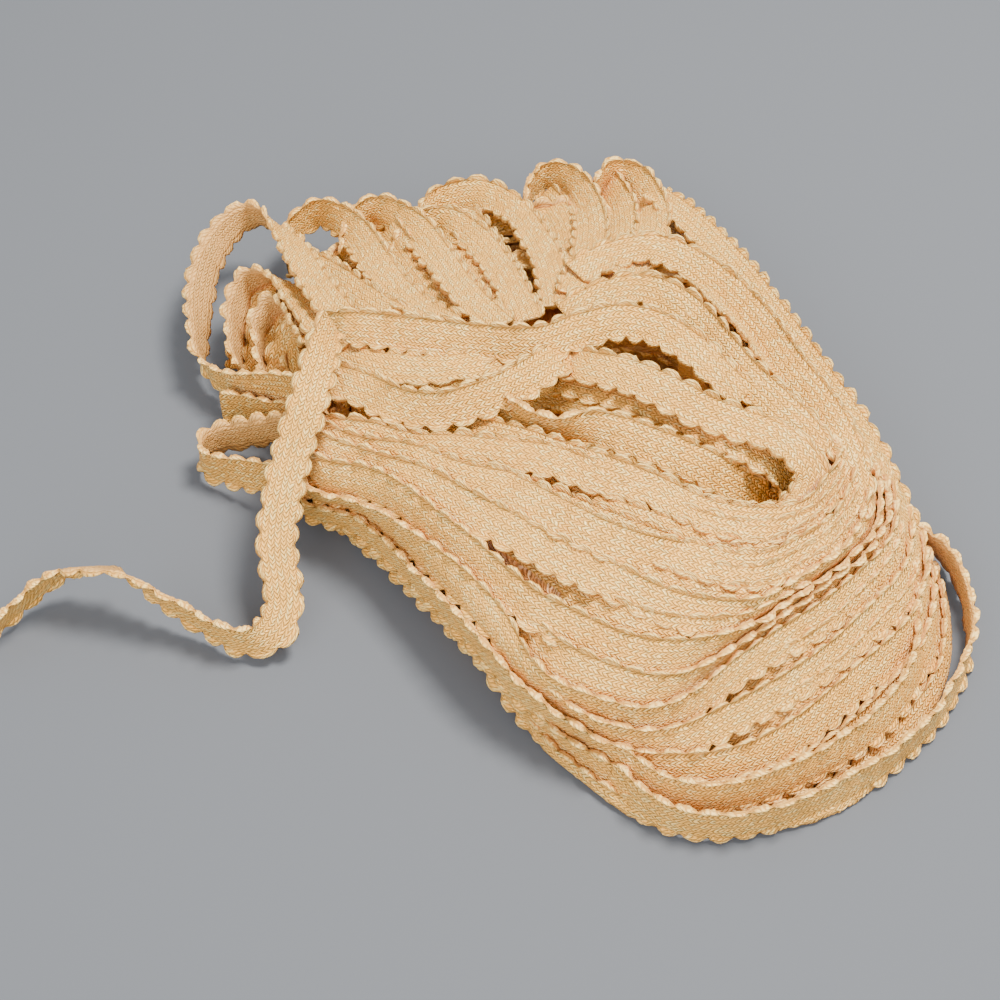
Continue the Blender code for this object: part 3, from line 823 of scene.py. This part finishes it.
def stitch_relief(kit, along, across):
    """Height of the stitched rows, and by chance how full and how glossy each stitch is."""
    maths, ramp = kit.maths, kit.ramp

    # Each row is two half rows that slant opposite ways and meet in a V
    rows = maths("DIVIDE", across, HALF_ROW)
    row = maths("FLOOR", rows)
    in_row = maths("SUBTRACT", maths("FRACT", rows), 0.5)
    turned = maths("MULTIPLY", maths("PINGPONG", row, 1.0), 2.0 * STITCH_SLANT)
    slant = maths("SUBTRACT", turned, STITCH_SLANT)
    pair = maths("FLOOR", maths("MULTIPLY", maths("ADD", row, 1.0), 0.5))
    stitches = maths("ADD", maths("DIVIDE", along, STITCH_PITCH), maths("MULTIPLY", in_row, slant))
    stitches = maths("ADD", stitches, maths("MULTIPLY", pair, STITCH_STAGGER))
    stitch = maths("FLOOR", stitches)
    in_stitch = maths("SUBTRACT", maths("FRACT", stitches), 0.5)

    # A stitch is round, some are fuller than others, and each is tilted a little by chance
    fall_across, fall_along = STITCH_ROUNDING
    fall = maths("ADD", maths("MULTIPLY", maths("POWER", in_row, 2.0), fall_across),
                 maths("MULTIPLY", maths("POWER", in_stitch, 2.0), fall_along))
    grain = maths("SQRT", maths("MAXIMUM", maths("SUBTRACT", 1.0, fall), 0.0))
    fullness = kit.chance(stitch, row)
    grain = maths("MULTIPLY", grain, maths("ADD", maths("MULTIPLY", fullness, 0.6), 0.7))
    tilt = maths("SUBTRACT", kit.chance(stitch, row, 7.0), 0.5)
    grain = maths("ADD", grain, maths("MULTIPLY", maths("MULTIPLY", tilt, in_stitch), STITCH_TILT))

    # The rows sink where one row of V stitches meets the next
    in_pair = maths("FRACT", maths("MULTIPLY", maths("ADD", rows, 1.0), 0.5))
    from_middle = maths("ABSOLUTE", maths("SUBTRACT", in_pair, 0.5))
    grain = maths("MULTIPLY", grain, ramp(from_middle, 0.36, 0.5, 1.0, 0.5))
    return grain, fullness, kit.chance(stitch, row, 3.0)


def cord_relief(kit, along, edge):
    """Height of the scallops: strands that follow the edge, each wrapped with finer turns."""
    maths = kit.maths
    phase = maths("MULTIPLY", maths("ADD", edge, 0.12), STRANDS * math.pi)
    strand = maths("ABSOLUTE", maths("SINE", phase))
    wraps = maths("ADD", maths("DIVIDE", along, WRAP_PITCH), maths("MULTIPLY", edge, WRAP_SLANT))
    in_wrap = maths("SUBTRACT", maths("FRACT", wraps), 0.5)
    fall = maths("MULTIPLY", maths("POWER", in_wrap, 2.0), WRAP_ROUNDING)
    wrap = maths("SQRT", maths("SUBTRACT", 1.0, fall))
    cord = maths("MULTIPLY", maths("POWER", strand, 0.6), wrap)
    fuller = kit.chance(maths("FLOOR", wraps), 3.0)
    return maths("MULTIPLY", cord, maths("ADD", maths("MULTIPLY", fuller, 0.5), 0.75))


def yarn_colour_with_painted_light(kit, height, grain, fullness, cord, edge, back, coordinates):
    """Cream strands, with painted shade in ochre between them, in the scallops' notches and on the back,
    and painted highlights on full stitches and cords.
    """
    maths, ramp, mix = kit.maths, kit.ramp, kit.mix
    body = mix(kit.attribute("tone"), COLOUR_WARM, COLOUR_CREAM)
    patchy = mix(ramp(kit.noise(PATCH_NOISE, 2.0, coordinates), 0.35, 0.70), body, COLOUR_CREAM)
    # Painted shade: the low parts between the stitches are coloured ochre
    with_painted_groove_shade = mix(ramp(height, 0.10, 0.85), COLOUR_PAINTED_GROOVE_SHADE, patchy)
    # Painted highlight: full, raised stitches are coloured lighter
    stitch_highlight_mask = maths("MULTIPLY", ramp(fullness, 0.45, 0.9), ramp(grain, 0.4, 0.9))
    with_painted_stitch_highlight = mix(stitch_highlight_mask, with_painted_groove_shade, COLOUR_PAINTED_HIGHLIGHT)
    # Painted highlight: the raised strands of the scallop cords are coloured lighter towards the edge
    cord_highlight_mask = maths("MULTIPLY", ramp(edge, 0.30, 0.8, 0.0, 0.9), ramp(cord, 0.2, 0.7))
    with_painted_cord_highlight = mix(cord_highlight_mask, with_painted_stitch_highlight, COLOUR_PAINTED_HIGHLIGHT)
    # Painted shade: the notches between the scallops are coloured ochre
    notch = maths("MULTIPLY", ramp(edge, 0.05, 0.30), ramp(kit.attribute("lobe"), 0.15, 0.75, 0.9, 0.0))
    with_painted_notch_shade = mix(notch, with_painted_cord_highlight, COLOUR_PAINTED_GROOVE_SHADE)
    # Painted shade: the braid's back is coloured darker
    return mix(ramp(back, 0.2, 0.8, 0.0, 0.8), with_painted_notch_shade, COLOUR_BACK_PAINTED_SHADE)


def braid_material(name, shade=(1.0, 1.0, 1.0)):
    """Cream gimp: rows of slanting stitches, corded scallops, and deeper colour out of the light."""
    kit = Shader(name)
    maths, ramp, mix = kit.maths, kit.ramp, kit.mix
    coordinates = kit.nodes.new("ShaderNodeTexCoord").outputs["Object"]
    places = kit.nodes.new("ShaderNodeUVMap")
    places.uv_map = "braid"
    split = kit.nodes.new("ShaderNodeSeparateXYZ")
    kit.links.new(places.outputs[0], split.inputs[0])
    astray = maths("SUBTRACT", kit.noise(STRAY_NOISE, 1.0, coordinates), 0.5)
    astray = maths("MULTIPLY", astray, STRAY_REACH)
    along = maths("ADD", split.outputs[0], astray)
    across = maths("ADD", split.outputs[1], astray)
    edge = kit.attribute("edge")
    back = kit.attribute("back")

    grain, fullness, gloss = stitch_relief(kit, along, across)
    cord = cord_relief(kit, along, edge)
    height = kit.blend(ramp(edge, 0.02, 0.12), grain, cord)
    height = maths("MULTIPLY", height, ramp(back, 0.2, 0.8, 1.0, 0.7))

    colour = yarn_colour_with_painted_light(kit, height, grain, fullness, cord, edge, back, coordinates)
    # Painted shade: where near neighbours keep the light out, found by ambient occlusion, the colour
    # takes a deeper tint
    shelter = kit.nodes.new("ShaderNodeAmbientOcclusion")
    shelter.samples = SHELTER_SAMPLES
    shelter.inputs["Distance"].default_value = SHELTER_REACH
    painted_crevice_shade = mix(1.0, colour, COLOUR_PAINTED_CREVICE_SHADE, "MULTIPLY")
    with_painted_crevice_shade = mix(ramp(shelter.outputs["AO"], *SHELTER_SKY), painted_crevice_shade, colour)
    kit.links.new(mix(1.0, with_painted_crevice_shade, shade, "MULTIPLY"), kit.shader.inputs["Base Color"])

    roughness = ramp(height, 0.2, 0.9, *ROUGHNESS)
    roughness = maths("SUBTRACT", roughness, maths("MULTIPLY", gloss, ROUGHNESS_SPREAD))
    kit.links.new(roughness, kit.shader.inputs["Roughness"])
    kit.shader.inputs["Specular IOR Level"].default_value = SPECULAR_LEVEL
    kit.shader.inputs["Specular Tint"].default_value = (*SPECULAR_TINT, 1.0)

    fibre = maths("MULTIPLY", kit.noise(FIBRE_NOISE, 2.0, coordinates), FIBRE_SHARE)
    bump = kit.nodes.new("ShaderNodeBump")
    bump.inputs["Strength"].default_value = 1.0
    bump.inputs["Distance"].default_value = BUMP_DISTANCE
    kit.links.new(maths("ADD", height, fibre), bump.inputs["Height"])
    kit.links.new(bump.outputs[0], kit.shader.inputs["Normal"])
    return kit.material


def plain_material(name, colour, roughness):
    """A plain soft-coloured material."""
    kit = Shader(name)
    kit.shader.inputs["Base Color"].default_value = (*colour, 1.0)
    kit.shader.inputs["Roughness"].default_value = roughness
    return kit.material


def build_wound(levels, normals, material):
    """The turns of the wound body, and the turns between them where the hank is widest."""
    position = round_hank(len(levels[0]))
    made = []
    for name, (first, last), seed in WOUND_GROUPS:
        braids = Braids(seed)
        for level in range(first, last):
            share, layers = sunk_share(level)
            braids.turn(turn_controls(levels, normals, level, 0.0, LAYER_SPACING * layers * share))
        for level, part, start, end in TURNS_BETWEEN:
            if first <= level < last:
                hidden = HIDDEN_LAYERS * (1.0 - window(position, start, end, SECTION_RAMP))
                braids.turn(turn_controls(levels, normals, level, part, LAYER_SPACING * (part + hidden)))
        made.append(braids.make(name, material, "hank"))
    return made


def build_inner_wall(levels, normals, material):
    """Turns that line the hollow of the hank, each lower and further in, with their backs in sight."""
    inwards = unit(normals[0] * (1.0, 1.0, 0.0)) * -1.0
    braids = Braids(INNER_WALL_SEED)
    for number in range(1, INNER_WALL_TURNS + 1):
        top = levels[0] + inwards * (number * INNER_WALL_INSET) - (0.0, 0.0, number * INNER_WALL_STEP)
        foot = top - (0.0, 0.0, 2.0 * BRAID_WIDTH)
        braids.turn(respace_rings([top, foot]))
    return braids.make("wound_inside", material, "hank")


def build_ribbons(name, tables, seed, material, node="hank"):
    """One object for a group of turns that stand clear."""
    braids = Braids(seed)
    for rows in tables:
        braids.ribbon(rows)
    return braids.make(name, material, node)


def hidden_rings(levels, normals):
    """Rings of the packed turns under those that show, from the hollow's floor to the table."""
    floor = levels[0] + unit(normals[0] * (1.0, 1.0, 0.0)) * HIDDEN_INSET
    floor[:, 2] = HIDDEN_FLOOR
    dense = [floor] + [ring - normal * HIDDEN_DEPTH for ring, normal in zip(levels, normals)]
    picks = np.linspace(0, len(floor), HIDDEN_STATIONS, endpoint=False).astype(int)
    rings = np.stack(dense)[:, picks]
    rings[:, :, 2] = np.maximum(rings[:, :, 2], HIDDEN_FOOT)
    return rings


def build_hidden(levels, normals, material):
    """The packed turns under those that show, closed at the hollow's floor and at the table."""
    rings = hidden_rings(levels, normals)
    count = HIDDEN_STATIONS
    around = np.linspace(0.0, HIDDEN_TURN_LENGTH, count + 1)
    faces = []
    places = []
    for ring in range(len(rings) - 1):
        upper = HIDDEN_STEP_WIDTH * ring
        lower = HIDDEN_STEP_WIDTH * (ring + 1)
        high = ring * count
        low = high + count
        for index in range(count):
            following = (index + 1) % count
            faces.append((high + index, high + following, low + following, low + index))
            here, ahead = around[index], around[index + 1]
            places += [(here, upper), (ahead, upper), (ahead, lower), (here, lower)]
    faces.append(list(range(count)))
    places += [(point[0], point[1]) for point in rings[0]]
    faces.append(list(reversed(range((len(rings) - 1) * count, len(rings) * count))))
    places += [(0.0, 0.0)] * count
    mesh = bpy.data.meshes.new("hidden_turns")
    mesh.from_pydata(rings.reshape(-1, 3).tolist(), [], faces)
    layer = mesh.uv_layers.new(name="braid")
    layer.data.foreach_set("uv", np.array(places, dtype=np.float32).ravel())
    mesh.update()
    mesh.materials.append(material)
    made = bpy.data.objects.new("hidden_turns", mesh)
    bpy.context.scene.collection.objects.link(made)
    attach(made, "root")
    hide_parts("hank")
    return made


def build_stage():
    """Grey-blue floor, soft studio light and the camera at the photo's viewing angle."""
    bpy.ops.mesh.primitive_plane_add(size=FLOOR_SIZE, location=(0.0, 0.0, 0.0))
    floor = bpy.context.object
    floor.name = "floor"
    floor.data.materials.append(plain_material("floor_paint", COLOUR_FLOOR, ROUGHNESS_FLOOR))

    world = bpy.data.worlds.new("studio")
    bpy.context.scene.world = world
    world.use_nodes = True
    background = world.node_tree.nodes["Background"]
    background.inputs["Color"].default_value = (*COLOUR_STUDIO, 1.0)
    background.inputs["Strength"].default_value = STUDIO_LIGHT

    for name, spot, size, energy, colour in LIGHTS:
        data = bpy.data.lights.new(name, "AREA")
        data.size = size
        data.energy = energy
        data.color = colour
        light = bpy.data.objects.new(name, data)
        light.location = spot
        light.rotation_euler = Vector(spot).to_track_quat("Z", "Y").to_euler()
        bpy.context.scene.collection.objects.link(light)

    data = bpy.data.cameras.new("camera")
    data.sensor_width = SENSOR_WIDTH
    data.lens = SENSOR_WIDTH * FOCAL_LENGTH / PHOTO_SIZE
    camera = bpy.data.objects.new("camera", data)
    camera.location = TOWARDS * -EYE_DISTANCE + TABLE_SHIFT
    camera.rotation_euler = (0.5 * math.pi - EYE_ELEVATION, 0.0, 0.0)
    bpy.context.scene.collection.objects.link(camera)
    bpy.context.scene.camera = camera


def fan_between():
    """Tables of the turns that lie between the loops of the fan, and lower."""
    order = [LEFT_TURNS["second_loop"], FAN_TURNS["fan_first"], FAN_TURNS["fan_second"],
             FAN_TURNS["fan_third"], FAN_TURNS["top_loop_left"], FAN_TURNS["top_loop_right"]]
    return [between(first, second) for first, second in zip(order, order[1:])]


def main():
    """Stage, wound body, turns that stand clear, and the loose end."""
    build_stage()
    cream = braid_material("gimp_cream")
    levels = wound_levels()
    normals = slope_normals(levels)
    made = build_wound(levels, normals, cream)
    made.append(build_inner_wall(levels, normals, cream))
    # The packed turns out of sight take the braid's colour with a painted-shade tint
    made.append(build_hidden(levels, normals, braid_material("gimp_painted_shade", COLOUR_SHADE)))
    groups = (
        ("inner_turns", list(INNER_TURNS.values()) + list(FLOOR_TURNS.values()), 21),
        ("far_turns", list(FAR_TURNS.values()), 22),
        ("tie_turns", list(TIE_TURNS.values()), 23),
        ("left_turns", list(LEFT_TURNS.values()), 24),
        ("fan_turns", list(FAN_TURNS.values()) + fan_between(), 25),
        ("outer_turns", list(OUTER_TURNS.values()), 26),
    )
    for name, tables, seed in groups:
        made.append(build_ribbons(name, tables, seed, cream))
    loose = build_ribbons("loose_braid", [LOOSE_END], LOOSE_SEED, cream, "loose_end")


main()
